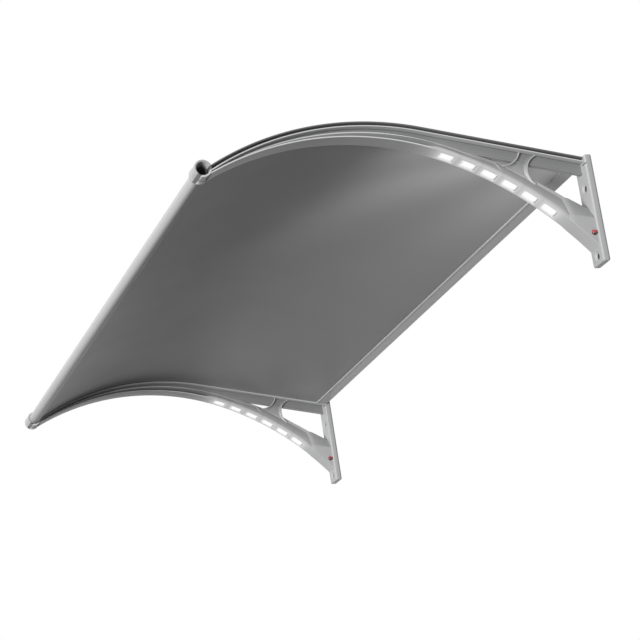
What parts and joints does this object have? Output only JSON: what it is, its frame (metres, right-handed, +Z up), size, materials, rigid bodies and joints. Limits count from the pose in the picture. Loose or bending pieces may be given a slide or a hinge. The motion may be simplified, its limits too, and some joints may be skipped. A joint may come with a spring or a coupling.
{
  "type": "door canopy",
  "caption": "Fixed canopy for over a door: a curved dark panel held by moulded wall brackets with lit windows in their arms, a front tube and a rear rail",
  "frame": {"origin": "on the wall plane, midway between the brackets, level with the wall plates' bottom ends", "axes": "+Z up, +Y into the wall, the canopy reaches out along -Y, +X to the right of someone who faces the wall"},
  "size_m": [1.5446, 0.679, 0.2596],
  "materials": {
    "bracket": "silver-grey satin",
    "panel": "smooth dark grey satin",
    "tube": "grey satin",
    "rail": "grey satin",
    "seal": "soft black",
    "lens": "milky, lit from behind",
    "lamp_board": "white flexible board",
    "screw": "plain",
    "cell": "sleeved, plain",
    "holder": "black",
    "board": "green board",
    "button": "red, glossy",
    "spring": "plain"
  },
  "bodies": {
    "canopy": {"left_bracket_body": "bracket", "left_led_strip": "lamp_board", "left_battery_cover": "bracket", "left_cover_screw": "screw", "left_battery_cell": "cell", "left_battery_holder": "holder", "left_driver_board": "board", "left_button_spring": "spring", "left_lens_1": "lens", "left_lens_2": "lens", "left_lens_3": "lens", "left_lens_4": "lens", "left_lens_5": "lens", "left_lens_6": "lens", "right_bracket_body": "bracket", "right_led_strip": "lamp_board", "right_battery_cover": "bracket", "right_cover_screw": "screw", "right_battery_cell": "cell", "right_battery_holder": "holder", "right_driver_board": "board", "right_button_spring": "spring", "right_lens_1": "lens", "right_lens_2": "lens", "right_lens_3": "lens", "right_lens_4": "lens", "right_lens_5": "lens", "right_lens_6": "lens", "canopy_panel": "panel", "front_tube": "tube", "rear_rail": "rail", "wall_seal": "seal"},
    "left_button": {"left_button_cap": "button"},
    "right_button": {"right_button_cap": "button"}
  },
  "joints": [
    {"name": "left_button_press", "type": "slide", "parent": "canopy", "child": "left_button", "axis": [-1, 0, 0], "range_m": [0, 0.0015], "stiffness_N_per_m": 600, "springref_m": -0.001, "deforming": ["left_button_spring"]},
    {"name": "right_button_press", "type": "slide", "parent": "canopy", "child": "right_button", "axis": [-1, 0, 0], "range_m": [0, 0.0015], "stiffness_N_per_m": 600, "springref_m": -0.001, "deforming": ["right_button_spring"]}
  ]
}
